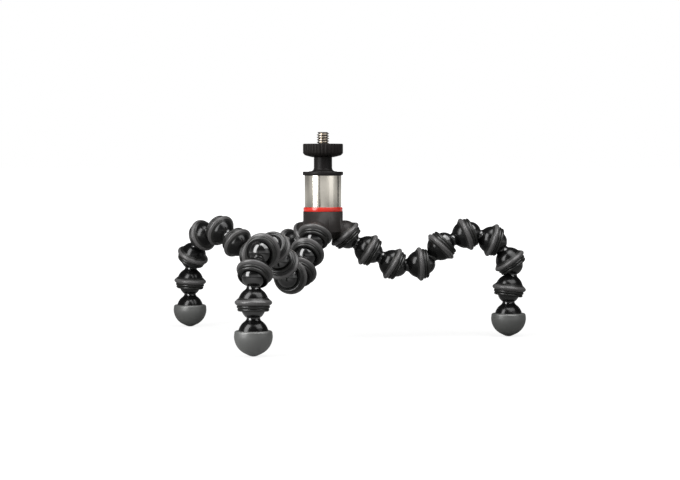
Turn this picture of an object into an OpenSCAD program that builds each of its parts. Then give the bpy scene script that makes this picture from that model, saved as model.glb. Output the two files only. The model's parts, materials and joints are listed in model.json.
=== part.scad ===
// Flexible leg tripod: three legs of ball-and-socket links, a ball head and a camera screw.
// Millimetres, +Z up, standing on z = 0, origin under the middle of the three feet's box.

/* [Ball joints] */
// Radius of a joint's ball
ball_r = 5.7; // [5.2:0.1:6.4]
// Gap all round between a ball, or another turning piece, and its seat
ball_gap = 0.05; // [0.02:0.01:0.1]
// Largest bend of a joint, in degrees
bend_max = 43; // [42:1:46]
// Gap between a neck and the rim at the largest bend
neck_gap = 0.1; // [0.05:0.05:0.3]

/* [Links] */
// Radius of the neck behind a ball
neck_r = 3.15; // [2.6:0.05:3.4]
// Length of the neck between ball and dome
neck_len = 1.1; // [1.1:0.1:3]
// Radius of the hollow curve where the neck widens into the dome
waist_r = 2.2; // [1.6:0.1:3]
// Wall of the dome over the ball
socket_wall = 1.45; // [1.2:0.05:2]
// Wall of the socket under the grip ring
rim_wall = 1.05; // [0.8:0.05:1.2]
// Distance from a ball's centre back to its dome's centre
dome_back = 2.4; // [2.2:0.1:3]

/* [Grip rings] */
// Hairline gap between a moulded-on piece and what carries it
mould_gap = 0.02; // [0.01:0.01:0.05]
// How far the flange stands out beyond the dome
flange_reach = 1.6; // [1:0.1:2.2]
// Radius of the flange's rounded edge
flange_edge_r = 1; // [0.7:0.05:1.2]
// Slope of the flange's face towards the dome, in degrees from square
flange_back_slope = 42; // [30:1:45]
// Slope of the flange's face towards the lip, in degrees from square
flange_lip_slope = 38; // [20:1:45]
// Half thickness of the flange where it meets the lip
flange_root = 1.3; // [1:0.05:1.5]
// How far the lip's first bead stands out beyond the socket's wall
lip_reach = 1.05; // [0.8:0.05:1.3]
// How far each further bead is set in from the one before
lip_taper = 0.35; // [0:0.05:0.5]
// Depth of the lip over the end of the socket's rim
lip_cover = 0.4; // [0.3:0.05:0.6]
// Gap between the ball and the lip's mouth
mouth_gap = 0.65; // [0.4:0.05:0.8]
// Number of beads round the lip
bead_count = 2; // [1:1:3]

/* [Feet] */
// Thickness of the rubber boot round the foot's dome
boot_wall = 1.9; // [1.2:0.1:3]
// Distance from the dome's centre down to the boot's widest place
boot_set = 1.05; // [0.5:0.05:2]
// Height of the boot's rim above its widest place
boot_rim = 2.6; // [2.2:0.1:3.2]
// How much narrower the boot is at its rim
boot_taper = 0.15; // [0.05:0.05:0.5]
// Radius of the boot's rounded rim
boot_rim_r = 1.1; // [0.6:0.1:1.5]
// How far the boot's blunt tip stands out below its round
boot_tip = 0.45; // [0.2:0.05:0.8]
// Radius of the boot's blunt tip
boot_tip_r = 5; // [3:0.1:6]

/* [Hub] */
// How far the hub's side stands out beyond the trim ring
hub_reach = 0.1; // [0:0.1:1]
// Height of the hub's straight side
hub_side = 10.4; // [9:0.1:11]
// Height of the taper under the hub
hub_taper = 4.1; // [3.2:0.1:4.4]
// Radius of the hub's underside
hub_foot_r = 4.4; // [3:0.1:4.8]
// Distance from the hub's axis to the centre of a socket's dome
socket_reach = 11.5; // [11:0.1:14]
// Distance from the hub's top down to the centre of a socket's dome
socket_drop = 11.8; // [11:0.1:13]
// Slope of a socket's axis below the horizontal, in degrees
socket_tilt = 50; // [45:1:55]
// Turn of the hub about its axis, in degrees
hub_turn = 10; // [-10:1:15]

/* [Ball head] */
// Height of the trim ring
trim_h = 2.1; // [1:0.1:4]
// How far the trim ring stands out beyond the collar
trim_reach = 0.65; // [0.1:0.05:1]
// Radius of the steel collar
collar_r = 9.5; // [9.3:0.1:10]
// Wall of the steel collar
collar_wall = 0.9; // [0.6:0.1:1.2]
// Height of the steel collar
collar_h = 16.6; // [16:0.1:24]
// How far the top cap's flange stands out beyond the collar
cap_reach = 0.95; // [0.5:0.05:2]
// Thickness of the top cap's flange
cap_h = 1.9; // [1.2:0.1:2.4]
// Bevel of the top cap's upper edge
cap_bevel = 0.35; // [0.1:0.05:0.6]
// Wall of the top cap's skirt, between ball and collar
skirt_wall = 0.6; // [0.5:0.01:1]
// Distance from the cap's top down to the head's ball centre
head_ball_drop = 3.3; // [3:0.1:3.5]
// Height of the ball's flat top above the cap
ball_flat = 0.2; // [0.1:0.05:0.5]
// Largest tilt of the head, in degrees
tilt_max = 30; // [15:1:32]
// Depth of the cap's skirt below the ball's centre
skirt_below = 0.5; // [0.2:0.1:1]
// Distance from the ball's centre down to the edge of its seat
seat_edge = 1.5; // [1.2:0.1:3]
// Thickness of the seat under the ball
seat_floor = 1.6; // [1:0.1:3]

/* [Stem, wheel and screw] */
// Radius of the stem
stem_r = 4.7; // [4:0.1:4.8]
// Height of the stem between cap and wheel
stem_len = 7.4; // [6:0.05:12]
// Radius of the hollow flare at the stem's foot
flare_r = 1.8; // [0.8:0.1:2]
// Radius of the thumb wheel
wheel_r = 10.35; // [9:0.05:13]
// Height of the wheel's ribbed rim
wheel_rim_h = 4.85; // [3:0.05:8]
// Height of the wheel's lower bevel
wheel_bevel_h = 1.15; // [0.5:0.05:1.5]
// Width of the wheel's lower bevel
wheel_bevel_w = 1.05; // [0.4:0.05:1.5]
// Height of the wheel's sloping underside
wheel_under_h = 0.95; // [0.5:0.05:2]
// Width of the flat round the stem under the wheel
wheel_flat_w = 0.8; // [0.3:0.1:2]
// Depth of the stem's end inside the wheel
stem_in_wheel = 2.55; // [1.5:0.05:3]
// Number of grooves in the wheel's rim
knurl_count = 34; // [24:1:60]
// Radius of a groove in the wheel's rim
knurl_r = 0.7; // [0.4:0.05:0.8]
// Depth of a groove in the wheel's rim
knurl_depth = 0.3; // [0.1:0.05:0.35]
// Radius of the camera screw, 1/4 inch across
screw_r = 3.175; // [2.5:0.005:3.5]
// Height of the camera screw above the wheel
screw_len = 6; // [4:0.1:8]
// Bevel of the camera screw's end
screw_bevel = 0.5; // [0.2:0.05:0.8]
// Width of the recess round the screw in the wheel's top
recess_w = 0.3; // [0.1:0.05:0.6]
// Depth of the recess round the screw
recess_h = 0.6; // [0.2:0.1:1]
// Radius of the screw's shank in wheel and stem
shank_r = 2.9; // [2:0.1:3.1]
// Length of the shank in the stem, below the wheel
shank_tail = 4.5; // [2:0.1:5.5]

/* [Hidden] */
$fn = 64;
LEGS = ["right", "left", "front"];
// Heading of each leg, from +X towards +Y, in degrees
leg_heading = [6, 136.5, 252];
// Slopes of each leg's links below the horizontal, from the hub to the foot, in degrees
pose = [
    [31, 29, -4, -46, -22, 19, 55, 97, 90],
    [20, 20, 4, -32, -24, 18, 59, 85, 90],
    [32, 37, 3, -35, -32, 9, 47, 89, 90]
];
// The link whose slope is set so that every foot stands on the floor
level_no = 3;
link_count = len(pose[0]) - 1;
foot_no = link_count + 1;
// Overlap where one curve runs into another
seam = 0.02;
// Radius of a bead as a share of the beads' pitch
bead_share = 0.55;

socket_r = ball_r + ball_gap;
dome_r = socket_r + socket_wall;
rim_r = socket_r + rim_wall;
rim_z = socket_r * cos(bend_max + asin((neck_r + neck_gap) / socket_r));
lip_z = rim_z + lip_cover;
mouth_r = ball_r + mouth_gap;
flange_r = dome_r + flange_reach;
lip_r = rim_r + lip_reach;
lip_end_r = lip_r - (bead_count - 1) * lip_taper;
bead_pitch = (lip_z + dome_back - flange_root) / bead_count;
bead_r = bead_share * bead_pitch;
dome_z = sqrt(ball_r^2 - neck_r^2) + neck_len + sqrt(dome_r^2 - neck_r^2);
link_pitch = dome_z + dome_back;

boot_r = dome_r + boot_wall;
boot_z = dome_z + boot_set;
boot_rim_z = boot_z - boot_rim;
boot_tip_z = boot_z + boot_r + boot_tip - boot_tip_r;
foot_len = boot_tip_z + boot_tip_r;

socket_x = socket_reach + dome_back * cos(socket_tilt);
hub_h = hub_side + hub_taper;

// Radii in the head, from the collar
bore_r = collar_r - collar_wall;
trim_r = collar_r + trim_reach;
hub_r = trim_r + hub_reach;
cap_r = collar_r + cap_reach;
pocket_r = bore_r - mould_gap - skirt_wall;
head_ball_r = pocket_r - ball_gap;

// Heights in the head, from the hub's top
collar_z = trim_h;
cap_z = collar_z + collar_h;
head_top = cap_z + cap_h;
head_ball_z = head_top - head_ball_drop;
seat_z = head_ball_z - head_ball_r - seat_floor;
cap_mouth_r = (stem_r + neck_gap + head_ball_drop * sin(tilt_max)) / cos(tilt_max);
wheel_z = head_top + stem_len;
wheel_h = wheel_under_h + wheel_bevel_h + wheel_rim_h;

// Reach of the half plane that each revolved section is kept to
section_reach = foot_len + wheel_z + wheel_h + screw_len;

// Ball centres along a leg, from the hub's axis at floor height
function rise(leg, k) = k == 0 ? 0 : rise(leg, k - 1) + sin(pose[leg][k - 1]);
function slope(leg, k) = k == level_no
    ? asin(sin(pose[leg][k - 1]) + rise(0, link_count) - rise(leg, link_count))
    : pose[leg][k - 1];
function link_step(leg, k) = let (s = slope(leg, k), h = leg_heading[leg])
    link_pitch * [cos(s) * cos(h), cos(s) * sin(h), -sin(s)];
socket_z = foot_len + link_pitch * rise(0, link_count);
hub_z = socket_z + dome_back * sin(socket_tilt) + socket_drop;
function socket_heading(leg) = hub_turn + 360 * leg / len(LEGS);
function ball_point(leg, k) = k == 1
    ? [socket_x * cos(socket_heading(leg)), socket_x * sin(socket_heading(leg)), socket_z]
    : ball_point(leg, k - 1) + link_step(leg, k - 1);
foot_points = [for (leg = [0 : len(LEGS) - 1]) ball_point(leg, foot_no)];
function middle(values) = (min(values) + max(values)) / 2;
hub_place = [-middle([for (p = foot_points) p.x]), -middle([for (p = foot_points) p.y]), 0];

function link_name(leg, k) = str(LEGS[leg], "_leg_link_", k);
function ring_name(leg, k) = str(LEGS[leg], "_leg_ring_", k);
function foot_name(leg) = str(LEGS[leg], "_leg_foot");

// Revolves a section drawn in radius and height
module revolve() {
    rotate_extrude() intersection() {
        children();
        translate([0, -section_reach]) square([section_reach, 2 * section_reach]);
    }
}

// A plain band of a section, between two radii and two heights
module band(r1, r2, z1, z2) {
    translate([r1, z1]) square([r2 - r1, z2 - z1]);
}

// Neck from a ball at the origin to a dome, with a hollow curve at the dome
module neck_section() {
    curve_x = neck_r + waist_r - seam;
    curve_z = dome_z - sqrt((dome_r + waist_r)^2 - (neck_r + waist_r)^2) + 3 * seam;
    root_z = dome_z - (dome_z - curve_z) * dome_r / (dome_r + waist_r) + 5 * seam;
    band(0, neck_r, 0, root_z);
    difference() {
        band(0, curve_x, curve_z, root_z);
        translate([curve_x, curve_z]) circle(waist_r);
    }
}

// Dome and rim of a socket whose ball centre is the origin, opening upwards
module socket_section() {
    difference() {
        union() {
            translate([0, -dome_back]) circle(dome_r);
            band(0, rim_r, -dome_back, rim_z);
        }
        band(0, 2 * dome_r, rim_z, 2 * dome_r);
    }
}

// A link stands on its ball's centre, with its socket at the top
module link_solid() {
    revolve() difference() {
        union() {
            circle(ball_r);
            neck_section();
            translate([0, link_pitch]) socket_section();
        }
        translate([0, link_pitch]) circle(socket_r);
    }
}

// Wedge of the flange, with a rounded edge
module flange_section() {
    edge = [flange_r - flange_edge_r, 0];
    back = edge + (flange_edge_r - seam) * [sin(flange_back_slope), -cos(flange_back_slope)];
    front = edge + (flange_edge_r - seam) * [sin(flange_lip_slope), cos(flange_lip_slope)];
    depth = flange_r - rim_r;
    translate(edge) circle(flange_edge_r);
    polygon([
        front,
        front - [depth, -depth * tan(flange_lip_slope)],
        back - [depth, depth * tan(flange_back_slope)],
        back
    ]);
}

// Grip ring of a socket whose ball centre is the origin
module grip_ring_solid() {
    revolve() difference() {
        union() {
            translate([0, -dome_back]) flange_section();
            band(mouth_r, lip_end_r - bead_r / 2, -dome_back, rim_z + lip_cover / 2);
            for (i = [0 : bead_count - 1])
                translate([
                    lip_r - i * lip_taper - bead_r,
                    flange_root - dome_back + (i + 0.5) * bead_pitch
                ]) circle(bead_r);
        }
        translate([0, -dome_back]) circle(dome_r + mould_gap);
        band(0, rim_r + mould_gap, -dome_back, rim_z + mould_gap);
        band(0, mouth_r, -dome_back, 2 * dome_r);
    }
}

// Ball stud of a foot: ball, neck and the dome that the boot is moulded on
module foot_stud_solid() {
    revolve() {
        circle(ball_r);
        neck_section();
        translate([0, dome_z]) circle(dome_r);
    }
}

// Rubber boot of a foot: round with a blunt tip below, and a rounded rim above
module boot_solid() {
    top_r = boot_r - boot_taper;
    cone = asin((boot_r - boot_tip_r) / (boot_tip_z - boot_z));
    flank = [cos(cone), sin(cone)];
    revolve() difference() {
        union() {
            translate([0, boot_z]) circle(boot_r);
            polygon([
                [0, boot_z], [0, boot_z] + (boot_r - seam) * flank,
                [0, boot_tip_z] + (boot_tip_r - seam) * flank, [0, boot_tip_z]
            ]);
            translate([0, boot_tip_z]) circle(boot_tip_r);
            band(0, top_r - boot_rim_r, boot_rim_z + seam, boot_z);
            band(0, top_r - seam, boot_rim_z + boot_rim_r, boot_z);
            translate([top_r - boot_rim_r, boot_rim_z + boot_rim_r]) circle(boot_rim_r);
        }
        translate([0, dome_z]) circle(dome_r + mould_gap);
        band(0, boot_r, boot_rim_z - boot_r, boot_rim_z);
    }
}

// Frame of one of the hub's sockets: its ball centre, opening outwards and down
module at_hub_socket(leg) {
    translate([0, 0, socket_z]) rotate([0, 0, socket_heading(leg)])
        translate([socket_x, 0, 0]) rotate([0, 90 + socket_tilt, 0]) children();
}

// Frame of a link or foot: its ball centre, along its own axis
module at_link(leg, k) {
    translate(hub_place + ball_point(leg, k)) rotate([0, 90 + slope(leg, k), leg_heading[leg]])
        children();
}

module hub_body() {
    color("#33312f") translate(hub_place) difference() {
        union() {
            translate([0, 0, hub_z]) revolve() {
                band(0, bore_r - mould_gap, 0, seat_z - ball_gap);
                polygon([[0, 0], [0, -hub_h], [hub_foot_r, -hub_h], [hub_r, -hub_side], [hub_r, 0]]);
            }
            for (leg = [0 : len(LEGS) - 1]) at_hub_socket(leg) revolve() socket_section();
        }
        for (leg = [0 : len(LEGS) - 1]) at_hub_socket(leg) sphere(socket_r);
    }
}

module hub_grip_rings() {
    color("#565656") translate(hub_place)
        for (leg = [0 : len(LEGS) - 1]) at_hub_socket(leg) grip_ring_solid();
}

module trim_ring() {
    color("#e8301f") translate(hub_place + [0, 0, hub_z]) revolve() band(bore_r, trim_r, 0, trim_h);
}

module steel_collar() {
    color("#c9c7c1") translate(hub_place + [0, 0, hub_z])
        revolve() band(bore_r, collar_r, collar_z, cap_z);
}

module top_cap() {
    color("#1d1c1b") translate(hub_place + [0, 0, hub_z]) revolve() difference() {
        union() {
            band(0, bore_r - mould_gap, head_ball_z - skirt_below, cap_z + cap_h / 2);
            polygon([
                [0, cap_z], [cap_r, cap_z], [cap_r, head_top - cap_bevel],
                [cap_r - cap_bevel, head_top], [0, head_top]
            ]);
        }
        translate([0, head_ball_z]) circle(pocket_r);
        band(0, pocket_r, head_ball_z - 2 * skirt_below, head_ball_z);
        band(0, cap_mouth_r, head_ball_z, head_top + cap_h);
    }
}

module ball_seat() {
    color("#6a6862") translate(hub_place + [0, 0, hub_z]) revolve() difference() {
        band(0, bore_r - ball_gap, seat_z, head_ball_z - seat_edge);
        translate([0, head_ball_z]) circle(pocket_r);
    }
}

module ball_stem() {
    flat_z = head_top + ball_flat;
    color("#1d1c1b") translate(hub_place + [0, 0, hub_z]) revolve() difference() {
        union() {
            intersection() {
                translate([0, head_ball_z]) circle(head_ball_r);
                band(0, pocket_r, head_ball_z - pocket_r, flat_z);
            }
            difference() {
                band(0, stem_r + flare_r, flat_z - seam, flat_z + flare_r);
                translate([stem_r + flare_r, flat_z + flare_r]) circle(flare_r);
            }
            band(0, stem_r, flat_z, wheel_z + stem_in_wheel);
        }
        band(0, shank_r + ball_gap, wheel_z - shank_tail - ball_gap, wheel_z + wheel_h);
    }
}

module thumb_wheel() {
    under_r = wheel_r - wheel_bevel_w;
    bevel_z = wheel_under_h + wheel_bevel_h;
    color("#222120") translate(hub_place + [0, 0, hub_z + wheel_z]) difference() {
        revolve() difference() {
            polygon([
                [0, 0], [stem_r + wheel_flat_w, 0], [under_r, wheel_under_h], [wheel_r, bevel_z],
                [wheel_r, wheel_h - cap_bevel], [wheel_r - cap_bevel, wheel_h], [0, wheel_h]
            ]);
            band(0, stem_r + ball_gap, -wheel_h, stem_in_wheel + ball_gap);
            band(0, shank_r + mould_gap, 0, wheel_h);
            band(0, screw_r + recess_w, wheel_h - recess_h, wheel_h + recess_h);
        }
        for (i = [0 : knurl_count - 1]) rotate([0, 0, 360 * i / knurl_count])
            translate([wheel_r + knurl_r - knurl_depth, 0, bevel_z - wheel_bevel_h / 2])
                cylinder(r = knurl_r, h = wheel_rim_h + wheel_bevel_h, $fn = 16);
    }
}

module camera_screw() {
    color("#b9a98f") translate(hub_place + [0, 0, hub_z + wheel_z]) revolve() {
        band(0, shank_r, -shank_tail, wheel_h);
        polygon([
            [0, wheel_h], [screw_r, wheel_h], [screw_r, wheel_h + screw_len - screw_bevel],
            [screw_r - screw_bevel, wheel_h + screw_len], [0, wheel_h + screw_len]
        ]);
    }
}

module leg_link(leg, k) {
    color("#191918") at_link(leg, k) link_solid();
}

module leg_ring(leg, k) {
    color("#565656") at_link(leg, k) translate([0, 0, link_pitch]) grip_ring_solid();
}

module leg_foot(leg) {
    at_link(leg, foot_no) {
        color("#191918") foot_stud_solid();
        color("#5a5c5b") boot_solid();
    }
}

hub_body();
hub_grip_rings();
trim_ring();
steel_collar();
top_cap();
ball_seat();
ball_stem();
thumb_wheel();
camera_screw();
for (leg = [0 : len(LEGS) - 1]) {
    for (k = [1 : link_count]) {
        leg_link(leg, k);
        leg_ring(leg, k);
    }
    leg_foot(leg);
}
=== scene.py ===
"""Flexible leg tripod: the finished pieces of the part, with a plain stage, light and camera."""
import json
import math

import bmesh
import bpy
from bpy.props import FloatProperty, FloatVectorProperty, IntProperty, PointerProperty
from mathutils import Matrix, Vector


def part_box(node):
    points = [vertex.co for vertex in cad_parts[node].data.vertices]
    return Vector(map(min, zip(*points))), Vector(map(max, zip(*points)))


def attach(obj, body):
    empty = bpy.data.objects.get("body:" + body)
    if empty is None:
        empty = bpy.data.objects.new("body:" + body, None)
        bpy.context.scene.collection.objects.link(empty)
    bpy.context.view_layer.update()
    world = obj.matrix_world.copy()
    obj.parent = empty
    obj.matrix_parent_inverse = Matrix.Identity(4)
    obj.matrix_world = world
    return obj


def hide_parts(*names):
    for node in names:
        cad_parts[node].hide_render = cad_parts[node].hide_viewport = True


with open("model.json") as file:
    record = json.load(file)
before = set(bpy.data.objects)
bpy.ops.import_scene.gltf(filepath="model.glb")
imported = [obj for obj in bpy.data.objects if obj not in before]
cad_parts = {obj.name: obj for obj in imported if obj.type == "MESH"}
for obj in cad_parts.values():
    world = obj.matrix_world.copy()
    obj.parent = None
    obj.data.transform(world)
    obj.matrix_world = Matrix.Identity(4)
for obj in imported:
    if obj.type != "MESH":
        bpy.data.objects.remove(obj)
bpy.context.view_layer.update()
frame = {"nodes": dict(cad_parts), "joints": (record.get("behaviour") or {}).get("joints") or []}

bl_info = {
    "name": "Flexible Leg Tripod",
    "version": (1, 0, 0),
    "blender": (4, 5, 0),
    "location": "3D View > Sidebar > Tripod",
    "description": "Builds the finished pieces of a flexible leg tripod, its stage and its camera",
    "category": "Object",
}

MM = 0.001
LEGS = ("right", "left", "front")
JOINTS = {j["name"]: j for j in frame["joints"]}
LINK_COUNT = sum(name.startswith("right_joint_") for name in JOINTS) - 1
HEAD_BALL = Vector(JOINTS["head_tilt"]["pos_m"])
HUB_AXIS = Vector((HEAD_BALL.x, HEAD_BALL.y, 0.0))
DOWN = Vector((0.0, 0.0, -1.0))
UP = Vector((0.0, 0.0, 1.0))
PHOTO_WIDTH_PX = 680
WELD = 0.001 * MM
HEAD_STEPS = 128
# A bead's radius, as a share of the beads' spacing.
BEAD_SHARE = 0.55
# Most of a noise texture's values lie between these.
NOISE_RANGE = (0.3, 0.7)


def linear(hex_colour):
    """An sRGB hex colour as linear red, green and blue."""
    values = [int(hex_colour[i:i + 2], 16) / 255 for i in (1, 3, 5)]
    return tuple(v / 12.92 if v <= 0.04045 else ((v + 0.055) / 1.055) ** 2.4 for v in values)


def size(label, text, millimetres):
    """A length that a user may change."""
    return FloatProperty(name=label, description=text, default=millimetres * MM, min=0.0,
                         unit="LENGTH")


def colour(label, text, hex_colour):
    """A colour that a user may change."""
    return FloatVectorProperty(name=label, description=text, default=linear(hex_colour), size=3,
                               min=0.0, max=1.0, subtype="COLOR")


class TripodSizes(bpy.types.PropertyGroup):
    """Sizes of the tripod's pieces."""
    ball_r: size("Ball", "Radius of a leg joint's ball", 5.7)
    ball_gap: size("Ball gap", "Gap between a ball and its socket", 0.05)
    neck_r: size("Neck", "Radius of the neck behind a ball", 3.15)
    neck_len: size("Neck length", "Length of the neck between ball and dome", 1.1)
    waist_r: size("Waist", "Radius of the hollow curve where the neck widens into the dome", 2.2)
    socket_wall: size("Socket wall", "Wall of the dome over the ball", 1.45)
    rim_wall: size("Rim wall", "Wall of the socket under the grip ring", 1.05)
    rim_z: size("Rim height", "Height of the socket's rim above the ball's centre", 1.254)
    dome_back: size("Dome set-back", "Distance from a ball's centre back to its dome's centre", 2.4)
    mould_gap: size("Mould gap", "Hairline gap under a moulded-on piece", 0.02)
    flange_reach: size("Flange reach", "How far a grip ring's flange stands out beyond the dome", 1.6)
    flange_edge: size("Flange edge", "Radius of the flange's rounded edge", 1.0)
    flange_root: size("Flange root", "Half thickness of the flange where it meets the lip", 1.3)
    flange_back_slope: FloatProperty(
        name="Flange back slope", description="Slope of the flange's face towards the dome",
        default=math.radians(42), subtype="ANGLE")
    flange_lip_slope: FloatProperty(
        name="Flange lip slope", description="Slope of the flange's face towards the lip",
        default=math.radians(38), subtype="ANGLE")
    # These three widths bound the flange's crown band that is painted paler as a lit band, a painted
    # highlight.
    lit_band_back: size("Rubbed back", "Width of the rubbed band on the flange's face towards the dome", 0.7)
    lit_band_lip: size("Rubbed front", "Width of the rubbed band on the flange's face towards the lip", 0.45)
    lit_band_fade: size("Rub fade", "Width over which the rubbed band fades", 0.2)
    lip_reach: size("Lip reach", "How far the lip's first bead stands out beyond the socket's wall", 1.05)
    lip_taper: size("Lip taper", "How far each further bead is set in from the one before", 0.35)
    lip_cover: size("Lip cover", "Depth of the lip over the end of the socket's rim", 0.4)
    mouth_gap: size("Mouth gap", "Gap between the ball and the lip's mouth", 0.65)
    bead_count: IntProperty(name="Beads", description="Number of beads round the lip", default=2, min=1)
    boot_wall: size("Boot wall", "Thickness of the rubber boot round the foot's dome", 1.9)
    boot_set: size("Boot set", "Distance from the dome's centre down to the boot's widest place", 1.05)
    boot_rim: size("Boot rim", "Height of the boot's rim above its widest place", 2.6)
    boot_taper: size("Boot taper", "How much narrower the boot is at its rim", 0.15)
    boot_rim_r: size("Boot rim round", "Radius of the boot's rounded rim", 1.1)
    boot_tip: size("Boot tip", "How far the boot's blunt tip stands out below its round", 0.45)
    boot_tip_r: size("Boot tip round", "Radius of the boot's blunt tip", 5.0)
    socket_tilt: FloatProperty(
        name="Socket tilt", description="Slope of the hub's sockets below the horizontal",
        default=math.radians(50), subtype="ANGLE")
    edge_round: size("Edge round", "Radius of the small rounds on the head's turned edges", 0.22)
    stem_r: size("Stem", "Radius of the head's stem", 4.7)
    cap_mouth_r: size("Cap mouth", "Radius of the top cap's opening round the stem", 7.45)
    ball_flat: size("Ball flat", "Height of the ball's flat top above the cap", 0.2)
    flare_r: size("Flare", "Radius of the hollow flare at the stem's foot", 1.8)
    wheel_under_h: size("Wheel underside", "Height of the wheel's sloping underside", 0.95)
    wheel_bevel_h: size("Wheel bevel", "Height of the wheel's lower bevel", 1.15)
    wheel_bevel_w: size("Wheel bevel width", "Width of the wheel's lower bevel", 1.05)
    wheel_flat_w: size("Wheel flat", "Width of the flat round the stem under the wheel", 0.8)
    stem_in_wheel: size("Stem in wheel", "Depth of the stem's end inside the wheel", 2.55)
    rib_count: IntProperty(name="Ribs", description="Number of ribs round the wheel", default=34, min=3)
    rib_depth: size("Rib depth", "Depth of the grooves between the wheel's ribs", 0.3)
    shank_r: size("Shank", "Radius of the screw's shank in wheel and stem", 2.9)
    shank_tail: size("Shank tail", "Length of the shank below the wheel", 4.5)
    recess_w: size("Recess width", "Width of the recess round the screw", 0.3)
    recess_h: size("Recess depth", "Depth of the recess round the screw", 0.6)
    screw_r: size("Screw", "Radius of the camera screw", 3.175)
    thread_pitch: size("Thread pitch", "Rise of the camera screw's thread in one turn", 1.27)
    screw_bevel: size("Screw bevel", "Bevel of the camera screw's end", 0.6)


class TripodColours(bpy.types.PropertyGroup):
    """Colours of the tripod's finishes."""
    link: colour("Links", "Gloss black of the links", "#0b0b0b")
    # The grip rings' grey is darkened as painted shade on their lips, and the flange's crown gets a paler
    # grey as a painted lit band.
    grip: colour("Grip rings", "Dark grey of the grip rings", "#1a1a19")
    grip_lit_band: colour("Grip edges", "Paler grey where the flanges rub", "#494848")
    boot: colour("Boots", "Grey of the rubber boots", "#474847")
    boot_light: colour("Boot bloom", "Paler grey of the rubber's bloom", "#50514f")
    hub: colour("Hub", "Satin black of the hub", "#272423")
    trim: colour("Trim", "Red of the trim ring", "#bd2619")
    steel: colour("Collar", "Steel of the collar", "#ece6da")
    coated: colour("Cap and stem", "Black coating of cap and stem", "#181616")
    wheel: colour("Thumb wheel", "Satin black of the thumb wheel", "#1a1817")
    screw: colour("Camera screw", "Warm steel of the camera screw", "#d8cfc2")
    seat: colour("Ball seat", "Natural grey of the hidden seat", "#6a6862")
    floor: colour("Floor", "Pale floor", "#9c9c9b")


def arc(centre, radius, start, end, steps):
    """Points along an arc in radius and height, from one angle in radians to another."""
    turns = [start + (end - start) * i / steps for i in range(steps + 1)]
    return [(centre[0] + radius * math.cos(a), centre[1] + radius * math.sin(a)) for a in turns]


def revolve(outline, steps=72, closed=False):
    """A bmesh of an outline in radius and height, spun about Z."""
    bm = bmesh.new()
    verts = [bm.verts.new((max(r, 0.0), 0.0, z)) for r, z in outline]
    pairs = list(zip(verts, verts[1:]))
    if closed:
        pairs.append((verts[-1], verts[0]))
    edges = [bm.edges.new(pair) for pair in pairs]
    bmesh.ops.spin(bm, geom=verts + edges, cent=(0, 0, 0), axis=(0, 0, 1), angle=math.tau,
                   steps=steps, use_merge=True)
    bmesh.ops.remove_doubles(bm, verts=bm.verts, dist=WELD)
    bmesh.ops.dissolve_degenerate(bm, edges=bm.edges, dist=WELD)
    bmesh.ops.recalc_face_normals(bm, faces=bm.faces)
    return bm


def rounded(points, radius, steps=4):
    """A closed outline whose corners are rounded with short arcs."""
    out = []
    count = len(points)
    for i, corner in enumerate(points):
        here = Vector(corner)
        back = (Vector(points[i - 1]) - here).normalized()
        ahead = (Vector(points[(i + 1) % count]) - here).normalized()
        half = back.angle(ahead) / 2
        reach = radius / math.tan(half)
        middle = here + (back + ahead).normalized() * radius / math.sin(half)
        start, end = here + back * reach - middle, here + ahead * reach - middle
        for k in range(steps + 1):
            out.append(tuple(middle + radius * start.slerp(end, k / steps)))
    return out


def frame_at(point, axis):
    """The matrix that puts a piece drawn along Z at a point and along an axis."""
    return Matrix.Translation(point) @ Vector(axis).to_track_quat("Z", "Y").to_matrix().to_4x4()


def mesh_of(name, bm, sharp=35):
    """The finished, smoothly shaded mesh of a bmesh."""
    mesh = bpy.data.meshes.new(name)
    bm.to_mesh(mesh)
    bm.free()
    mesh.shade_smooth()
    mesh.set_sharp_from_angle(angle=math.radians(sharp))
    return mesh


def show(name, mesh, material, body, nodes=()):
    """Adds a finished piece: its material, its body and the solids that it stands for."""
    piece = bpy.data.objects.new(name, mesh)
    bpy.context.scene.collection.objects.link(piece)
    mesh.materials.clear()
    mesh.materials.append(material)
    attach(piece, body)
    if nodes:
        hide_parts(*nodes)
    return piece


def add(tree, kind, inputs=None, **settings):
    """Adds a node with its settings, its values and its links."""
    node = tree.nodes.new(kind)
    for key, value in settings.items():
        setattr(node, key, value)
    for key, value in (inputs or {}).items():
        if isinstance(value, bpy.types.NodeSocket):
            tree.links.new(value, node.inputs[key])
        else:
            node.inputs[key].default_value = value
    return node


def per_mm(millimetres):
    """The texture scale whose features are that far apart, on Object coordinates in metres."""
    return 1 / (millimetres * MM)


def empty_material(name):
    """A material without nodes, in place of an older one of that name."""
    material = bpy.data.materials.get(name)
    if material:
        bpy.data.materials.remove(material)
    material = bpy.data.materials.new(name)
    material.use_nodes = True
    material.node_tree.nodes.clear()
    return material, material.node_tree


def new_material(name, values):
    """A material with its output and its principled shader, which has the values set."""
    material, tree = empty_material(name)
    shader = add(tree, "ShaderNodeBsdfPrincipled", values)
    add(tree, "ShaderNodeOutputMaterial", {"Surface": shader.outputs["BSDF"]})
    return material, tree, shader


def fade(tree, value, start, end, low, high):
    """A value that goes from low to high while another goes from start to end."""
    node = add(tree, "ShaderNodeMapRange",
               {"Value": value, "From Min": start, "From Max": end, "To Min": low, "To Max": high})
    return node.outputs["Result"]


def blended(tree, factor, first, second):
    """A colour between two others."""
    node = add(tree, "ShaderNodeMix", {"Factor": factor, "A": first, "B": second}, data_type="RGBA")
    return node.outputs["Result"]


def chosen(tree, factor, first, second):
    """The first number, or the second where the factor is one."""
    node = add(tree, "ShaderNodeMix", {"Factor": factor, "A": first, "B": second})
    return node.outputs["Result"]


def maths(tree, operation, first, second):
    """One number worked out from two."""
    node = add(tree, "ShaderNodeMath", {0: first, 1: second}, operation=operation)
    return node.outputs["Value"]


def opaque(rgb, factor=1.0):
    """A colour with its alpha, made lighter or darker by a factor."""
    return (*(min(1.0, c * factor) for c in rgb), 1.0)


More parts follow.
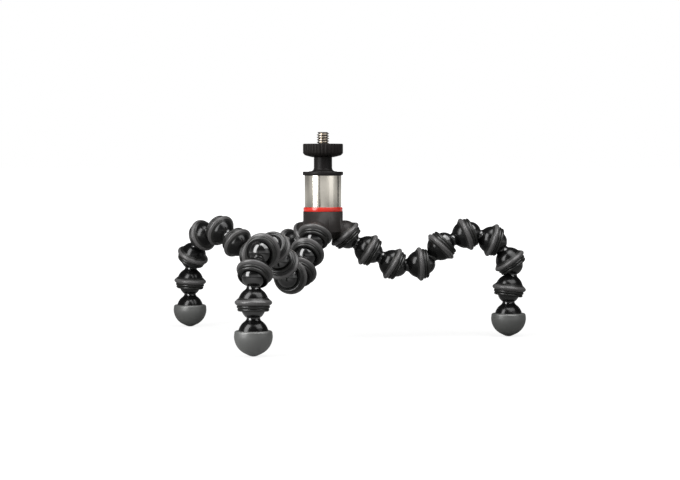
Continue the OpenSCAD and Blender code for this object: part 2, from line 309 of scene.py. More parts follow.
def mottle(tree, shader, colours, patch_mm, roughness, grain_mm, relief_mm, stretch=(1, 1, 1)):
    """Patchy colour and roughness, and a fine grain in relief, as a moulded or worked surface has."""
    place = add(tree, "ShaderNodeTexCoord")
    scaled = add(tree, "ShaderNodeMapping", {"Vector": place.outputs["Object"], "Scale": stretch})
    patches = add(tree, "ShaderNodeTexNoise",
                  {"Vector": scaled.outputs["Vector"], "Scale": per_mm(patch_mm), "Detail": 4.0})
    base = blended(tree, patches.outputs["Fac"], *colours)
    tree.links.new(base, shader.inputs["Base Color"])
    spread = fade(tree, patches.outputs["Fac"], *NOISE_RANGE, *roughness)
    tree.links.new(spread, shader.inputs["Roughness"])
    grain = add(tree, "ShaderNodeTexNoise",
                {"Vector": scaled.outputs["Vector"], "Scale": per_mm(grain_mm), "Detail": 2.0})
    relief = add(tree, "ShaderNodeBump",
                 {"Height": grain.outputs["Fac"], "Strength": 1.0, "Distance": relief_mm * MM})
    tree.links.new(relief.outputs["Normal"], shader.inputs["Normal"])
    return base


def gloss_abs(rgb):
    """ABS from a polished tool: deep black, mirror-like on balls and necks, softer on the domes."""
    material, tree, shader = new_material("gloss_black_abs", {
        "IOR": 1.54, "Specular IOR Level": 0.26, "Coat IOR": 1.55, "Coat Roughness": 0.05})
    mottle(tree, shader, (opaque(rgb, 0.8), opaque(rgb, 1.2)), patch_mm=7.0, roughness=(0.2, 0.24),
           grain_mm=1.6, relief_mm=0.0003)
    polish = add(tree, "ShaderNodeAttribute", attribute_name="polish")
    tree.links.new(polish.outputs["Fac"], shader.inputs["Coat Weight"])
    return material


def satin_tpe(rgb, lit_band_rgb):
    """Soft moulded TPE: dark grey satin with a fine tooth, painted paler along the flange's crown as a
    lit band (a painted highlight), with the darker grey standing for painted shade on the lip.
    """
    material, tree, shader = new_material("satin_grey_tpe", {"IOR": 1.5, "Specular IOR Level": 0.42})
    base = mottle(tree, shader, (opaque(rgb, 0.85), opaque(rgb, 1.15)), patch_mm=3.0,
                  roughness=(0.29, 0.35), grain_mm=0.3, relief_mm=0.0003)
    # The lit band is where the flange's crown is painted paler, as a painted highlight.
    lit_band = add(tree, "ShaderNodeAttribute", attribute_name="lit_band")
    painted_shading = blended(tree, lit_band.outputs["Fac"], base, opaque(lit_band_rgb))
    tree.links.new(painted_shading, shader.inputs["Base Color"])
    return material


def boot_rubber(rgb, bloom_rgb):
    """Moulded rubber: mid grey with a soft bloom, a dull shine and a fine grit that grips the floor."""
    material, tree, shader = new_material("matt_grey_rubber", {"IOR": 1.5, "Specular IOR Level": 1.0})
    mottle(tree, shader, (opaque(rgb), opaque(bloom_rgb)), patch_mm=5.0, roughness=(0.38, 0.44),
           grain_mm=0.35, relief_mm=0.0015)
    return material


def textured_abs(name, rgb, shine):
    """ABS moulded in a spark-eroded tool: satin black with a fine, even texture."""
    material, tree, shader = new_material(name, {"IOR": 1.5, "Specular IOR Level": shine})
    mottle(tree, shader, (opaque(rgb, 0.9), opaque(rgb, 1.1)), patch_mm=4.0, roughness=(0.34, 0.46),
           grain_mm=0.35, relief_mm=0.01)
    return material


def red_abs(rgb):
    """Dyed ABS: clear red with a soft shine."""
    material, tree, shader = new_material("satin_red_abs", {"IOR": 1.52})
    mottle(tree, shader, (opaque(rgb, 0.92), opaque(rgb, 1.05)), patch_mm=3.0, roughness=(0.16, 0.2),
           grain_mm=0.4, relief_mm=0.0005)
    return material


def turned_steel(rgb):
    """Stainless steel, turned and fine brushed round the axis: reflections run into upright bands."""
    material, tree, shader = new_material("turned_stainless_steel", {
        "Metallic": 1.0, "Anisotropic": 0.9, "Anisotropic Rotation": 0.25})
    tangent = add(tree, "ShaderNodeTangent", direction_type="RADIAL", axis="Z")
    tree.links.new(tangent.outputs["Tangent"], shader.inputs["Tangent"])
    # Real turning lines are a few hundredths of a millimetre apart; coarser ones show.
    mottle(tree, shader, (opaque(rgb, 0.96), opaque(rgb, 1.02)), patch_mm=2.0, roughness=(0.19, 0.21),
           grain_mm=0.5, relief_mm=0.0001, stretch=(0.05, 0.05, 1.6))
    return material


def coated_metal(rgb):
    """Black powder coat on die-cast metal: satin, very slightly uneven."""
    material, tree, shader = new_material("black_coated_metal", {"IOR": 1.5, "Specular IOR Level": 0.12})
    mottle(tree, shader, (opaque(rgb, 0.9), opaque(rgb, 1.12)), patch_mm=2.5, roughness=(0.4, 0.48),
           grain_mm=0.25, relief_mm=0.004)
    return material


def screw_steel(rgb):
    """Plated steel, rolled thread: warm grey, with painted shade darkening the thread's roots and the
    crests left at the steel's grey.
    """
    material, tree, shader = new_material("plated_screw_steel", {"Metallic": 1.0})
    base = mottle(tree, shader, (opaque(rgb, 0.85), opaque(rgb, 1.1)), patch_mm=0.8,
                  roughness=(0.16, 0.26), grain_mm=0.3, relief_mm=0.001)
    # Painted shade: the thread's roots are darkened towards near black, following the crest attribute.
    crest = add(tree, "ShaderNodeAttribute", attribute_name="crest")
    share = fade(tree, crest.outputs["Fac"], start=0.15, end=0.6, low=0.0, high=1.0)
    painted_shading = blended(tree, share, opaque(rgb, 0.2), base)
    tree.links.new(painted_shading, shader.inputs["Base Color"])
    return material


def acetal(rgb):
    """Acetal: natural grey, waxy and slippery, as a friction seat is."""
    material, tree, shader = new_material("natural_acetal", {"IOR": 1.48})
    mottle(tree, shader, (opaque(rgb, 0.95), opaque(rgb, 1.05)), patch_mm=5.0, roughness=(0.3, 0.4),
           grain_mm=0.5, relief_mm=0.004)
    return material


def run_into(point, heading, centre, radius):
    """Angle about a circle's centre at which a straight face from a point runs into the circle."""
    start = Vector(point) - centre
    way = Vector((math.cos(heading), math.sin(heading)))
    along = start.dot(way)
    hit = start + way * (-along - math.sqrt(along ** 2 - start.length_squared + radius ** 2))
    return math.atan2(hit.y, hit.x)


class Shape:
    """Sizes worked out from those that a user may change."""

    def __init__(self, sizes):
        self.s = sizes
        self.socket_r = sizes.ball_r + sizes.ball_gap
        self.dome_r = self.socket_r + sizes.socket_wall
        self.rim_r = self.socket_r + sizes.rim_wall
        self.neck_z = math.sqrt(sizes.ball_r ** 2 - sizes.neck_r ** 2)
        neck_in_dome = math.sqrt(self.dome_r ** 2 - sizes.neck_r ** 2)
        self.dome_z = self.neck_z + sizes.neck_len + neck_in_dome
        self.pitch = self.dome_z + sizes.dome_back
        self.lip_z = sizes.rim_z + sizes.lip_cover
        self.boot_r = self.dome_r + sizes.boot_wall
        self.boot_z = self.dome_z + sizes.boot_set

    def neck_outline(self):
        """Ball, neck and hollow waist up to the dome, and the angle at which the dome begins."""
        s = self.s
        waist_x = s.neck_r + s.waist_r
        waist_z = self.dome_z - math.sqrt((self.dome_r + s.waist_r) ** 2 - waist_x ** 2)
        slope = math.atan2(self.dome_z - waist_z, -waist_x)
        ball_end = math.atan2(self.neck_z, s.neck_r)
        points = arc((0, 0), s.ball_r, -math.pi / 2, ball_end, steps=20)
        points += arc((waist_x, waist_z), s.waist_r, math.pi, slope, steps=8)
        return points, slope - math.pi

    def link(self):
        """Outline of a link: ball, neck, dome, rim and the hollow of its socket."""
        s = self.s
        points, start = self.neck_outline()
        end = math.acos(self.rim_r / self.dome_r)
        points += arc((0, self.dome_z), self.dome_r, start, end, steps=24)[1:]
        rim = math.asin(s.rim_z / self.socket_r)
        points.append((self.rim_r, self.pitch + s.rim_z))
        points += arc((0, self.pitch), self.socket_r, rim, -math.pi / 2, steps=16)
        return points

    def stud(self):
        """Outline of a foot's stud: ball, neck and the dome that the boot is moulded on."""
        points, start = self.neck_outline()
        return points + arc((0, self.dome_z), self.dome_r, start, math.pi / 2, steps=24)[1:]

    def boot(self):
        """Closed outline of a foot's boot."""
        s = self.s
        inner = self.dome_r + s.mould_gap
        top_r = self.boot_r - s.boot_taper
        rim_z = self.boot_z - s.boot_rim
        tip_z = self.boot_z + self.boot_r + s.boot_tip - s.boot_tip_r
        cone = math.asin((self.boot_r - s.boot_tip_r) / (tip_z - self.boot_z))
        points = arc((0, tip_z), s.boot_tip_r, math.pi / 2, cone, steps=10)
        points += arc((0, self.boot_z), self.boot_r, cone, 0, steps=20)
        rim_centre = (top_r - s.boot_rim_r, rim_z + s.boot_rim_r)
        points += arc(rim_centre, s.boot_rim_r, 0, -math.pi / 2, steps=8)
        mouth = math.asin((rim_z - self.dome_z) / inner)
        return points + arc((0, self.dome_z), inner, mouth, math.pi / 2, steps=16)

    def ring(self):
        """Closed outline of a grip ring, about the centre of its socket's ball."""
        s = self.s
        inner = self.dome_r + s.mould_gap
        dome = Vector((0.0, -s.dome_back))
        edge = Vector((self.dome_r + s.flange_reach - s.flange_edge, -s.dome_back))
        back_turn = s.flange_back_slope - math.pi / 2
        lip_turn = math.pi / 2 - s.flange_lip_slope
        points = arc(edge, s.flange_edge, back_turn, lip_turn, steps=12)
        back_way = Vector((-math.cos(s.flange_back_slope), -math.sin(s.flange_back_slope)))
        lip_way = Vector((-math.cos(s.flange_lip_slope), math.sin(s.flange_lip_slope)))
        start, end = Vector(points[0]), Vector(points[-1])
        # Extra points bound the crown band that is painted paler as lit.
        points.insert(0, tuple(start + back_way * s.lit_band_back))
        points.insert(0, tuple(start + back_way * (s.lit_band_back + s.lit_band_fade)))
        points.append(tuple(end + lip_way * s.lit_band_lip))
        pitch = (self.lip_z + s.dome_back - s.flange_root) / s.bead_count
        bead_r = BEAD_SHARE * pitch
        step = Vector((-s.lip_taper, pitch))
        first = Vector((self.rim_r + s.lip_reach - bead_r,
                        s.flange_root - s.dome_back + pitch / 2))
        lean = math.atan2(s.lip_taper, pitch)
        meet = math.acos(step.length / 2 / bead_r)
        mouth_r = s.ball_r + s.mouth_gap
        for i in range(s.bead_count):
            centre = first + i * step
            start, end = lean + meet - math.pi / 2, lean + math.pi / 2 - meet
            if i == 0:
                start = run_into(points[-1], math.pi - s.flange_lip_slope, centre, bead_r)
            if i == s.bead_count - 1:
                end = math.acos((mouth_r - centre.x) / bead_r)
            points += arc(centre, bead_r, start, end, steps=12)
        rim_top = s.rim_z + s.mould_gap
        wall_r = self.rim_r + s.mould_gap
        points += [(mouth_r, rim_top), (wall_r, rim_top)]
        foot = run_into(points[0], s.flange_back_slope - math.pi, dome, inner)
        return points + arc(dome, inner, math.acos(wall_r / inner), foot, steps=14)


def ball_point(leg, number):
    """Centre of a leg's joint, counted from the hub."""
    return Vector(JOINTS[f"{leg}_joint_{number}"]["pos_m"])


def link_frame(leg, number):
    """Place and direction of a link."""
    start = ball_point(leg, number)
    return frame_at(start, ball_point(leg, number + 1) - start)


def ring_mesh(shape):
    """Mesh of a grip ring about its socket's ball, with the flange's crown marked for its painted lit
    band.
    """
    s = shape.s
    bm = revolve(shape.ring(), closed=True)
    lit_band = bm.verts.layers.float.new("lit_band")
    back, lip = s.flange_back_slope, s.flange_lip_slope
    low = -(s.flange_edge * math.cos(back) + s.lit_band_back * math.sin(back))
    high = s.flange_edge * math.cos(lip) + s.lit_band_lip * math.sin(lip)
    for vert in bm.verts:
        height = vert.co.z + s.dome_back
        outside = math.hypot(vert.co.x, vert.co.y) > shape.dome_r + 2 * s.mould_gap
        # One on the flange's crown, which is painted paler as a lit band; the rest stays dark as painted
        # shade.
        vert[lit_band] = float(outside and low - s.mould_gap < height < high + s.mould_gap)
    return mesh_of("grip_ring", bm)


def polished(bm, shape):
    """Marks a moulding's ball and neck, which are polished to turn smoothly in the next socket."""
    polish = bm.verts.layers.float.new("polish")
    for vert in bm.verts:
        vert[polish] = float(vert.co.z < shape.neck_z + shape.s.neck_len)
    return bm


def copy_at(mesh, name, matrix):
    """A copy of a mesh, put in place."""
    copy = mesh.copy()
    copy.name = name
    copy.transform(matrix)
    return copy


class TRIPOD_OT_links(bpy.types.Operator):
    """Builds the links of the legs"""
    bl_idname = "tripod.links"
    bl_label = "Leg links"

    def execute(self, context):
        shape = Shape(context.scene.tripod_sizes)
        material = gloss_abs(context.scene.tripod_colours.link)
        pattern = mesh_of("link", polished(revolve(shape.link()), shape))
        for leg in LEGS:
            for k in range(1, LINK_COUNT + 1):
                name = f"{leg}_link_{k}"
                mesh = copy_at(pattern, name, link_frame(leg, k))
                show(f"{name}_moulding", mesh, material, name,
                     [f"{leg}_leg_link_{k}"])
        return {"FINISHED"}


class TRIPOD_OT_rings(bpy.types.Operator):
    """Builds the grip rings of the links and of the hub"""
    bl_idname = "tripod.rings"
    bl_label = "Grip rings"

    def execute(self, context):
        sizes = context.scene.tripod_sizes
        colours = context.scene.tripod_colours
        shape = Shape(sizes)
        material = satin_tpe(colours.grip, colours.grip_lit_band)
        pattern = ring_mesh(shape)
        ahead = Matrix.Translation((0, 0, shape.pitch))
        for leg in LEGS:
            for k in range(1, LINK_COUNT + 1):
                mesh = copy_at(pattern, f"{leg}_ring_{k}", link_frame(leg, k) @ ahead)
                show(f"{leg}_ring_{k}_grip", mesh, material, f"{leg}_link_{k}",
                     [f"{leg}_leg_ring_{k}"])
            outward = ball_point(leg, 1) - HUB_AXIS
            outward.z = 0.0
            tilt = sizes.socket_tilt
            axis = outward.normalized() * math.cos(tilt) + DOWN * math.sin(tilt)
            mesh = copy_at(pattern, f"hub_{leg}_ring", frame_at(ball_point(leg, 1), axis))
            show(f"hub_{leg}_ring_grip", mesh, material, "hub", ["hub_grip_rings"])
        return {"FINISHED"}


class TRIPOD_OT_feet(bpy.types.Operator):
    """Builds the feet: a black stud and a grey boot each"""
    bl_idname = "tripod.feet"
    bl_label = "Feet"

    def execute(self, context):
        colours = context.scene.tripod_colours
        shape = Shape(context.scene.tripod_sizes)
        plastic = bpy.data.materials["gloss_black_abs"]
        rubber = boot_rubber(colours.boot, colours.boot_light)
        stud = mesh_of("stud", polished(revolve(shape.stud()), shape))
        boot = mesh_of("boot", revolve(shape.boot()))
        for leg in LEGS:
            place = frame_at(ball_point(leg, LINK_COUNT + 1), DOWN)
            body, node = f"{leg}_foot", f"{leg}_leg_foot"
            show(f"{leg}_foot_stud", copy_at(stud, f"{leg}_stud", place), plastic, body,
                 [node])
            show(f"{leg}_foot_boot", copy_at(boot, f"{leg}_boot", place), rubber, body,
                 [node])
        return {"FINISHED"}


def node_copy(node):
    """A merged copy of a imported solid's mesh."""
    bm = bmesh.new()
    bm.from_mesh(frame["nodes"][node].data)
    bmesh.ops.remove_doubles(bm, verts=bm.verts, dist=WELD)
    return bm


class TRIPOD_OT_hub(bpy.types.Operator):
    """Builds the hub moulding"""
    bl_idname = "tripod.hub"
    bl_label = "Hub"

    def execute(self, context):
        rgb = context.scene.tripod_colours.hub
        material = textured_abs("textured_black_abs", rgb, shine=0.15)
        mesh = mesh_of("hub", node_copy("hub_body"), sharp=25)
        show("hub_moulding", mesh, material, "hub", ["hub_body"])
        return {"FINISHED"}


def span(node):
    """Outer radius, lowest and highest place of a solid on the head's axis."""
    low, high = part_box(node)
    return (high.x - low.x) / 2, low.z, high.z


class TRIPOD_OT_head(bpy.types.Operator):
    """Builds the head: trim ring, steel collar, top cap, ball and stem"""
    bl_idname = "tripod.head"
    bl_label = "Ball head"
    # The round on the cap's flange, as a share of the flange's thickness.
    flange_round = 0.25

    def execute(self, context):
        sizes = context.scene.tripod_sizes
        colours = context.scene.tripod_colours
        seat_r = span("ball_seat")[0] + sizes.ball_gap
        trim = mesh_of("trim", self.sleeve(sizes, "trim_ring", seat_r))
        show("trim_ring_band", trim, red_abs(colours.trim), "hub", ["trim_ring"])
        collar = mesh_of("collar", self.sleeve(sizes, "steel_collar", seat_r))
        show("steel_collar_sleeve", collar, turned_steel(colours.steel), "hub",
             ["steel_collar"])
        black = coated_metal(colours.coated)
        self.cap(sizes, black, seat_r)
        self.stem(sizes, black)
        seat = acetal(colours.seat)
        for slot in frame["nodes"]["ball_seat"].material_slots:
            slot.material = seat
        return {"FINISHED"}

    def sleeve(self, sizes, node, bore_r):
        """A turned ring with small rounds on its edges, in a solid's place."""
        outer_r, low, high = span(node)
        corners = [(bore_r, low), (outer_r, low), (outer_r, high), (bore_r, high)]
        bm = revolve(rounded(corners, sizes.edge_round), steps=HEAD_STEPS, closed=True)
        bm.transform(Matrix.Translation(HUB_AXIS))
        return bm

    def cap(self, sizes, material, bore_r):
        """The top cap: a flange over the collar, a skirt in it and a pocket over the ball."""
        cap_r, skirt_low, top = span("top_cap")
        flange_low = span("steel_collar")[2]
        pocket_r = span("ball_stem")[0] + sizes.ball_gap
        skirt_r = bore_r - sizes.mould_gap
        mouth_r = sizes.cap_mouth_r
        rise = math.sqrt(pocket_r ** 2 - mouth_r ** 2)
        round_r = (top - flange_low) * self.flange_round
        points = [(pocket_r, skirt_low), (skirt_r, skirt_low), (skirt_r, flange_low)]
        points += arc((cap_r - round_r, flange_low + round_r), round_r, -math.pi / 2, 0, steps=6)
        points += arc((cap_r - round_r, top - round_r), round_r, 0, math.pi / 2, steps=6)
        points += [(mouth_r, top), (mouth_r, HEAD_BALL.z + rise)]
        points += arc((0, HEAD_BALL.z), pocket_r, math.asin(rise / pocket_r), 0, steps=6)
        bm = revolve(points, steps=HEAD_STEPS, closed=True)
        bm.transform(Matrix.Translation(HUB_AXIS))
        show("top_cap_ring", mesh_of("cap", bm), material, "hub", ["top_cap"])

    def stem(self, sizes, material):
        """The head's ball with its flat top, the flared stem and the bore for the screw's shank."""
        ball_r, _, high = span("ball_stem")
        wheel_low = span("thumb_wheel")[1]
        flat_z = span("top_cap")[2] + sizes.ball_flat
        bore_r = sizes.shank_r + sizes.ball_gap
        bore_low = wheel_low - sizes.shank_tail - sizes.ball_gap
        flat = math.asin((flat_z - HEAD_BALL.z) / ball_r)
        points = arc((0, HEAD_BALL.z), ball_r, -math.pi / 2, flat, steps=32)
        flare_centre = (sizes.stem_r + sizes.flare_r, flat_z + sizes.flare_r)
        points += arc(flare_centre, sizes.flare_r, 1.5 * math.pi, math.pi, steps=10)
        points += [(sizes.stem_r, high), (bore_r, high), (bore_r, bore_low), (0, bore_low)]
        bm = revolve(points, steps=96)
        bm.transform(Matrix.Translation(HUB_AXIS))
        show("ball_stem_post", mesh_of("stem", bm), material, "ball_stem", ["ball_stem"])


class TRIPOD_OT_wheel(bpy.types.Operator):
    """Builds the thumb wheel with its ribbed rim"""
    bl_idname = "tripod.wheel"
    bl_label = "Thumb wheel"
    steps_per_rib = 12
    chamfer = 0.35 * MM
    # How far from a corner its eased edge begins and ends.
    ease_low, ease_high, ease_rim = 0.08 * MM, 0.1 * MM, 0.15 * MM
    # Where on the bevel the ribs begin, and their share of the full depth there and on the chamfer.
    rib_start, rib_share_low, rib_share_top = 0.4, 0.35, 0.4
    # How far the grooves' wave is raised, which makes them wider than the ribs.
    groove_raise = 0.2
    # How far down the chamfer's edge is eased, and how far in the ribs end, in chamfers.
    chamfer_ease, rib_end = 0.6, 3

    def execute(self, context):
        sizes = context.scene.tripod_sizes
        wheel_r, low, high = span("thumb_wheel")
        bm = self.loft(sizes, self.levels(sizes, wheel_r, high - low))
        bm.transform(Matrix.Translation(HUB_AXIS + UP * low))
        rgb = context.scene.tripod_colours.wheel
        material = textured_abs("wheel_black_nylon", rgb, shine=0.07)
        show("thumb_wheel_knob", mesh_of("wheel", bm, sharp=40), material, "wheel",
             ["thumb_wheel"])
        return {"FINISHED"}

    def levels(self, sizes, wheel_r, height):
        """Radius, height and share of the ribs' depth at each level, from the stem's seat to the top."""
        bore_r = sizes.shank_r + sizes.mould_gap
        seat_r = sizes.stem_r + sizes.ball_gap
        seat_z = sizes.stem_in_wheel + sizes.ball_gap
        under_r = wheel_r - sizes.wheel_bevel_w
        under_z = sizes.wheel_under_h
        bevel_z = under_z + sizes.wheel_bevel_h
        rib_z = bevel_z - (1 - self.rib_start) * sizes.wheel_bevel_h
        recess_r = sizes.screw_r + sizes.recess_w
        recess_z = height - sizes.recess_h
        chamfer = self.chamfer
        return [
            (bore_r, seat_z, 0), (seat_r, seat_z, 0), (seat_r, 0, 0),
            (sizes.stem_r + sizes.wheel_flat_w, 0, 0),
            (under_r - chamfer, under_z - self.ease_low, 0), (under_r, under_z + self.ease_high, 0),
            (under_r + self.rib_start * sizes.wheel_bevel_w, rib_z, self.rib_share_low),
            (wheel_r - self.ease_low, bevel_z - self.ease_low, 1), (wheel_r, bevel_z + self.ease_rim, 1),
            (wheel_r, height - chamfer - self.ease_high, 1),
            (wheel_r - self.ease_high, height - chamfer * self.chamfer_ease, 1),
            (wheel_r - chamfer, height, self.rib_share_top),
            (wheel_r - self.rib_end * chamfer, height, 0),
            (recess_r, height, 0), (recess_r, recess_z, 0), (bore_r, recess_z, 0),
        ]

    def loft(self, sizes, levels):
        """A closed ring through the levels, each extruded from the last."""
        count = sizes.rib_count * self.steps_per_rib
        bm = bmesh.new()
        ring = bmesh.ops.create_circle(bm, segments=count, radius=1.0)["verts"]
        first = edges = list(bm.edges)
        self.fit(sizes, ring, levels[0])
        for level in levels[1:]:
            made = bmesh.ops.extrude_edge_only(bm, edges=edges)["geom"]
            ring = [g for g in made if isinstance(g, bmesh.types.BMVert)]
            edges = [g for g in made if isinstance(g, bmesh.types.BMEdge) and g.is_boundary]
            self.fit(sizes, ring, level)
        bmesh.ops.bridge_loops(bm, edges=first + edges)
        bmesh.ops.recalc_face_normals(bm, faces=bm.faces)
        return bm

    def fit(self, sizes, ring, level):
        """Moves a level's points to its radius and height, with the grooves between the ribs."""
        radius, height, share = level
        for vert in ring:
            turn = math.atan2(vert.co.y, vert.co.x)
            wave = (1 - self.groove_raise) * math.cos(sizes.rib_count * turn)
            reach = radius - share * sizes.rib_depth * max(0.0, self.groove_raise + wave)
            vert.co = (reach * math.cos(turn), reach * math.sin(turn), height)


class TRIPOD_OT_screw(bpy.types.Operator):
    """Builds the camera screw with its thread"""
    bl_idname = "tripod.screw"
    bl_label = "Camera screw"
    steps_per_turn = 48
    # A standard thread: its depth as a share of the pitch, the slope of its flanks, and how many
    # times the flat between two teeth goes into the pitch.
    depth_share, flank_slope, root_flats = 0.613, math.radians(30), 6
    thread_weld = 0.01 * MM

    def execute(self, context):
        sizes = context.scene.tripod_sizes
        low, high = span("camera_screw")[1:]
        top = span("thumb_wheel")[2]
        bm = self.thread(sizes, top - sizes.recess_h, high)
        self.shank(sizes, bm, top - sizes.recess_h, low)
        bmesh.ops.recalc_face_normals(bm, faces=bm.faces)
        bm.transform(Matrix.Translation(HUB_AXIS))
        material = screw_steel(context.scene.tripod_colours.screw)
        show("camera_screw_stud", mesh_of("screw", bm, sharp=30), material, "wheel",
             ["camera_screw"])
        return {"FINISHED"}

    def thread(self, sizes, low, high):
        """A right-hand thread, one tooth spun upwards and cut off square at both ends."""
        pitch = sizes.thread_pitch
        depth = self.depth_share * pitch
        crest, root = sizes.screw_r, sizes.screw_r - depth
        flank = depth * math.tan(self.flank_slope)
        root_flat = pitch / self.root_flats
        start = low - pitch
        tooth = [(root, 0), (root, root_flat), (crest, root_flat + flank), (crest, pitch - flank),
                 (root, pitch)]
        turns = math.ceil((high - start) / pitch)
        bm = bmesh.new()
        verts = [bm.verts.new((r, 0, start + z)) for r, z in tooth]
        edges = [bm.edges.new(pair) for pair in zip(verts, verts[1:])]
        bmesh.ops.spin(bm, geom=verts + edges, cent=(0, 0, 0), axis=(0, 0, 1),
                       angle=math.tau * turns, steps=self.steps_per_turn * turns,
                       dvec=(0, 0, pitch / self.steps_per_turn))
        bmesh.ops.remove_doubles(bm, verts=bm.verts, dist=self.thread_weld)
        for height, outward in ((low, DOWN), (high, UP)):
            bmesh.ops.bisect_plane(bm, geom=list(bm.verts) + list(bm.edges) + list(bm.faces), dist=WELD,
                                   plane_co=(0, 0, height), plane_no=outward, clear_outer=True)
        # Marks how far out each point stands on the tooth; the material paints shade into the roots from
        # it.
        painted_shading = bm.verts.layers.float.new("crest")
        for vert in bm.verts:
            reach = math.hypot(vert.co.x, vert.co.y)
            vert[painted_shading] = min(1.0, max(0.0, (reach - root) / depth))
            limit = sizes.screw_r - max(0.0, vert.co.z - (high - sizes.screw_bevel))
            if reach > limit:
                vert.co.x *= limit / reach
                vert.co.y *= limit / reach
        rim_low = high - self.thread_weld
        rim = [e for e in bm.edges if e.is_boundary and min(v.co.z for v in e.verts) > rim_low]
        bmesh.ops.edgeloop_fill(bm, edges=rim)
        return bm

    def shank(self, sizes, bm, top, low):
        """The plain shank under the thread, drawn down from its lower edge and closed."""
        rim_top = top + self.thread_weld
        edges = [e for e in bm.edges if e.is_boundary and max(v.co.z for v in e.verts) < rim_top]
        for height in (top, low):
            made = bmesh.ops.extrude_edge_only(bm, edges=edges)["geom"]
            edges = [g for g in made if isinstance(g, bmesh.types.BMEdge) and g.is_boundary]
            for vert in (g for g in made if isinstance(g, bmesh.types.BMVert)):
                x, y, _ = vert.co
                reach = math.hypot(x, y)
                vert.co = (x * sizes.shank_r / reach, y * sizes.shank_r / reach, height)
        bmesh.ops.edgeloop_fill(bm, edges=edges)


LAMP_AIM = HUB_AXIS + UP * 45 * MM
CARD_DISTANCE = 0.6


def softbox(name, heading, rise, distance, width, height, power):
    """A soft lamp that looks at the tripod; its heading is turned right from the camera's side."""
    turn, lift = math.radians(heading), math.radians(rise)
    way = Vector((math.sin(turn) * math.cos(lift), -math.cos(turn) * math.cos(lift), math.sin(lift)))
    light = bpy.data.lights.new(name, "AREA")
    light.shape = "RECTANGLE"
    light.size, light.size_y, light.energy = width, height, power
    lamp = bpy.data.objects.new(name, light)
    bpy.context.scene.collection.objects.link(lamp)
    lamp.location = LAMP_AIM + way * distance
    lamp.rotation_euler = (-way).to_track_quat("-Z", "Y").to_euler()
    lamp.visible_camera = False


def card(name, heading, width, height, glow):
    """A card, black or softly lit, that only reflections see; it draws a band in the collar."""
    turn = math.radians(heading)
    foot = HUB_AXIS + Vector((math.sin(turn), -math.cos(turn), 0.0)) * CARD_DISTANCE
    bm = bmesh.new()
    bmesh.ops.create_grid(bm, x_segments=1, y_segments=1, size=0.5)
    upright = Matrix.Rotation(turn, 4, "Z") @ Matrix.Rotation(math.pi / 2, 4, "X")
    bm.transform(Matrix.Translation(foot + UP * height / 2) @ upright
                 @ Matrix.Diagonal((width, height, 1.0, 1.0)))
    piece = bpy.data.objects.new(name, mesh_of(name, bm))
    bpy.context.scene.collection.objects.link(piece)
    material = new_material(f"{name}_paper", {
        "Base Color": (0.0, 0.0, 0.0, 1.0), "Roughness": 1.0, "Specular IOR Level": 0.0,
        "Emission Color": (1.0, 1.0, 1.0, 1.0), "Emission Strength": glow})[0]
    material.cycles.emission_sampling = "NONE"
    piece.data.materials.append(material)
    piece.visible_camera = piece.visible_diffuse = False
    piece.visible_shadow = piece.visible_transmission = False


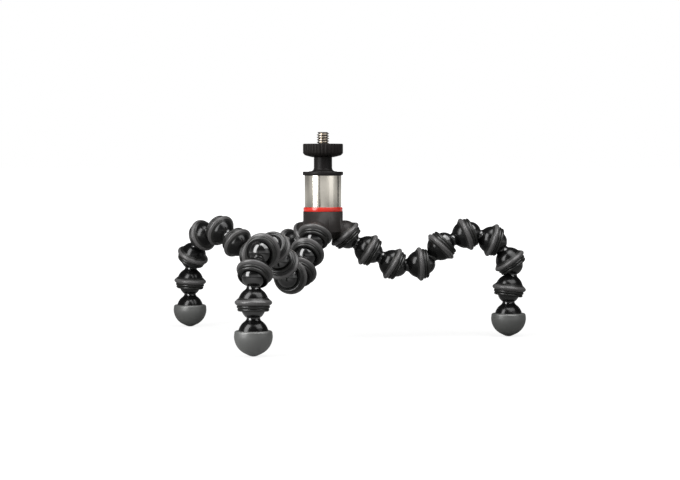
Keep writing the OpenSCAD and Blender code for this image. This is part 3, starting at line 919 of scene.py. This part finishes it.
class TRIPOD_OT_stage(bpy.types.Operator):
    """Builds the floor, the light and the camera"""
    bl_idname = "tripod.stage"
    bl_label = "Stage"

    def execute(self, context):
        self.floor(context)
        self.world(context)
        softbox("key", heading=-50, rise=30, distance=0.36, width=0.17, height=0.42, power=2.1)
        softbox("side", heading=54, rise=60, distance=0.38, width=0.3, height=0.4, power=1.8)
        softbox("top", heading=20, rise=78, distance=1.1, width=0.5, height=0.5, power=2.6)
        card("front_flag", heading=-23, width=0.05, height=0.9, glow=0.0)
        card("side_flag", heading=110, width=0.11, height=0.9, glow=0.0)
        card("side_card", heading=54, width=0.3, height=0.4, glow=1.0)
        self.camera(context)
        context.scene.view_settings.view_transform = "Standard"
        return {"FINISHED"}

    def floor(self, context):
        """A wide pale floor that keeps a soft shadow and turns white further away.

        Reflections see a bright pool in front of the tripod and a pale horizon."""
        bm = bmesh.new()
        bmesh.ops.create_circle(bm, segments=96, radius=40.0, cap_ends=True)
        floor = bpy.data.objects.new("floor", mesh_of("floor", bm))
        context.scene.collection.objects.link(floor)
        pool_centre, to_the_eye = (-0.05, -0.2, 0.0), 1.27
        material, tree = empty_material("pale_floor")
        matt = add(tree, "ShaderNodeBsdfDiffuse", {"Color": opaque(context.scene.tripod_colours.floor)})
        place = add(tree, "ShaderNodeTexCoord").outputs["Object"]
        from_pool = add(tree, "ShaderNodeVectorMath", {0: place, 1: pool_centre},
                        operation="DISTANCE").outputs["Value"]
        away = add(tree, "ShaderNodeVectorMath", {0: place}, operation="LENGTH").outputs["Value"]
        pool = fade(tree, from_pool, start=0.04, end=0.16, low=1.0, high=0.08)
        horizon = fade(tree, away, start=0.3, end=1.2, low=0.08, high=0.7)
        mirrored = maths(tree, "MAXIMUM", pool, horizon)
        path = add(tree, "ShaderNodeLightPath").outputs
        strength = chosen(tree, path["Is Glossy Ray"], to_the_eye, mirrored)
        glow = add(tree, "ShaderNodeEmission", {"Strength": strength})
        seen = maths(tree, "MAXIMUM", path["Is Camera Ray"], path["Is Glossy Ray"])
        seen = maths(tree, "MAXIMUM", seen, path["Is Transmission Ray"])
        white = fade(tree, away, start=0.1, end=0.6, low=0.68, high=1.0)
        share = maths(tree, "MULTIPLY", seen, white)
        mix = add(tree, "ShaderNodeMixShader",
                  {0: share, 1: matt.outputs["BSDF"], 2: glow.outputs["Emission"]})
        add(tree, "ShaderNodeOutputMaterial", {"Surface": mix.outputs["Shader"]})
        material.cycles.emission_sampling = "NONE"
        floor.data.materials.append(material)

    def world(self, context):
        """White behind the tripod, in a room whose far side lights the tripod's back.

        Reflections see a white front, a dimmer back and a dark ceiling."""
        world = bpy.data.worlds.new("studio")
        context.scene.world = world
        world.use_nodes = True
        world.cycles.sampling_method = "NONE"
        tree = world.node_tree
        tree.nodes.clear()
        place = add(tree, "ShaderNodeTexCoord").outputs["Generated"]
        way = add(tree, "ShaderNodeSeparateXYZ", {"Vector": place}).outputs
        room = fade(tree, way["Y"], start=-0.1, end=0.6, low=0.09, high=0.6)
        wall = fade(tree, way["Y"], start=-0.4, end=0.3, low=1.0, high=0.24)
        mirrored = fade(tree, way["Z"], start=0.0, end=0.4, low=wall, high=0.06)
        path = add(tree, "ShaderNodeLightPath").outputs
        lit = chosen(tree, path["Is Glossy Ray"], room, mirrored)
        clear = maths(tree, "MAXIMUM", path["Is Camera Ray"], path["Is Transmission Ray"])
        strength = chosen(tree, clear, lit, 1.0)
        white = add(tree, "ShaderNodeBackground", {"Color": (1.0, 1.0, 1.0, 1.0), "Strength": strength})
        add(tree, "ShaderNodeOutputWorld", {"Surface": white.outputs["Background"]})

    def camera(self, context):
        """A long lens a metre in front of the tripod, near its top and turned slightly down."""
        focal_px = 1929
        right, back, rise = 8.78 * MM, 996.8 * MM, 89.5 * MM
        turned_down = 2.22
        data = bpy.data.cameras.new("camera")
        data.sensor_fit = "HORIZONTAL"
        data.lens = focal_px * data.sensor_width / PHOTO_WIDTH_PX
        data.clip_end = 200.0
        camera = bpy.data.objects.new("camera", data)
        context.scene.collection.objects.link(camera)
        camera.location = HUB_AXIS + Vector((right, -back, rise))
        camera.rotation_euler = (math.radians(90 - turned_down), 0.0, 0.0)
        context.scene.camera = camera


OPERATORS = (TRIPOD_OT_stage, TRIPOD_OT_links, TRIPOD_OT_rings, TRIPOD_OT_feet,
             TRIPOD_OT_hub, TRIPOD_OT_head, TRIPOD_OT_wheel, TRIPOD_OT_screw)


class TRIPOD_PT_pieces(bpy.types.Panel):
    """Lists the tripod's pieces"""
    bl_idname = "TRIPOD_PT_pieces"
    bl_label = "Flexible Leg Tripod"
    bl_space_type = "VIEW_3D"
    bl_region_type = "UI"
    bl_category = "Tripod"

    def draw(self, context):
        for operator in OPERATORS:
            self.layout.operator(operator.bl_idname)


CLASSES = (TripodSizes, TripodColours, *OPERATORS, TRIPOD_PT_pieces)


def register():
    for cls in CLASSES:
        bpy.utils.register_class(cls)
    bpy.types.Scene.tripod_sizes = PointerProperty(type=TripodSizes)
    bpy.types.Scene.tripod_colours = PointerProperty(type=TripodColours)


def unregister():
    del bpy.types.Scene.tripod_colours
    del bpy.types.Scene.tripod_sizes
    for cls in reversed(CLASSES):
        bpy.utils.unregister_class(cls)


def main():
    register()
    bpy.ops.tripod.stage()
    bpy.ops.tripod.links()
    bpy.ops.tripod.rings()
    bpy.ops.tripod.feet()
    bpy.ops.tripod.hub()
    bpy.ops.tripod.head()
    bpy.ops.tripod.wheel()
    bpy.ops.tripod.screw()


if __name__ == "__main__":
    main()
